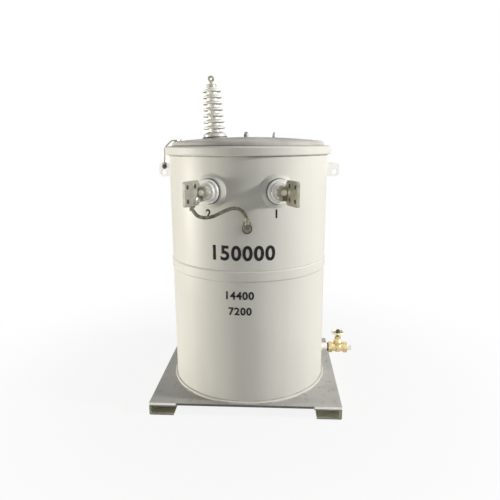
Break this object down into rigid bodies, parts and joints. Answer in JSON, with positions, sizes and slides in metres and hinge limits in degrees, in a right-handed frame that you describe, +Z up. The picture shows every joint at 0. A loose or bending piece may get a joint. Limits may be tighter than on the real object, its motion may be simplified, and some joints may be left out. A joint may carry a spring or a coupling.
{
  "type": "pole mounted transformer on a skid base",
  "caption": "Round oil-filled distribution transformer tank with clamped cover, porcelain bushings, drain valve, pole hangers and a skid base.",
  "frame": {"origin": "on the floor under the tank axis, level with the undersides of the skids", "axes": "+Z up along the tank axis, -Y towards the low-voltage bushings, +X towards the drain valve"},
  "size_m": [0.773, 0.7714, 1.2176],
  "materials": {
    "tank_paint": "semi-gloss warm light grey paint",
    "base_paint": "satin mid grey paint",
    "core_iron": "laminated core steel and wound coils, closed in",
    "gasket_rubber": "black rubber",
    "porcelain": "glossy light grey glaze",
    "cast_alloy": "satin cast alloy",
    "tinned_metal": "dull tinned bronze and copper",
    "zinc_steel": "bright zinc plating",
    "dark_steel": "dark oiled steel",
    "valve_brass": "cast and machined yellow brass"
  },
  "bodies": {
    "transformer": {"left_skid": "base_paint", "right_skid": "base_paint", "base_plate": "base_paint", "tank_bottom": "tank_paint", "tank_shell": "tank_paint", "core_and_coils": "core_iron", "cover_gasket": "gasket_rubber", "cover": "tank_paint", "cover_band": "tank_paint", "band_bolt": "zinc_steel", "hv_gasket": "gasket_rubber", "hv_clamp_ring": "cast_alloy", "hv_porcelain": "porcelain", "hv_cap": "tinned_metal", "hv_eye_terminal": "tinned_metal", "ground_strap": "tinned_metal", "strap_bolt": "zinc_steel", "ground_boss": "tank_paint", "ground_bolt": "zinc_steel", "left_lifting_lug": "tank_paint", "right_lifting_lug": "tank_paint", "bond_wire": "tinned_metal", "lug_bond_bolt": "dark_steel", "cover_bond_stud": "zinc_steel", "relief_valve": "cast_alloy", "cover_plug": "dark_steel", "drain_nipple": "tank_paint", "valve_body": "valve_brass", "valve_bonnet": "valve_brass", "valve_plug": "zinc_steel", "upper_hanger": "tank_paint", "lower_hanger": "tank_paint", "left_lv_boss": "tank_paint", "left_lv_gasket": "gasket_rubber", "left_lv_porcelain": "porcelain", "left_lv_stud": "tinned_metal", "left_lv_terminal": "tinned_metal", "right_lv_boss": "tank_paint", "right_lv_gasket": "gasket_rubber", "right_lv_porcelain": "porcelain", "right_lv_stud": "tinned_metal", "right_lv_terminal": "tinned_metal"},
    "handwheel": {"valve_handwheel": "valve_brass"}
  },
  "joints": [
    {"name": "handwheel_turn", "type": "hinge", "parent": "transformer", "child": "handwheel", "pos_m": [0.367, 0, 0.207], "axis": [0, 0, 1], "range_deg": [0, 1620]}
  ]
}
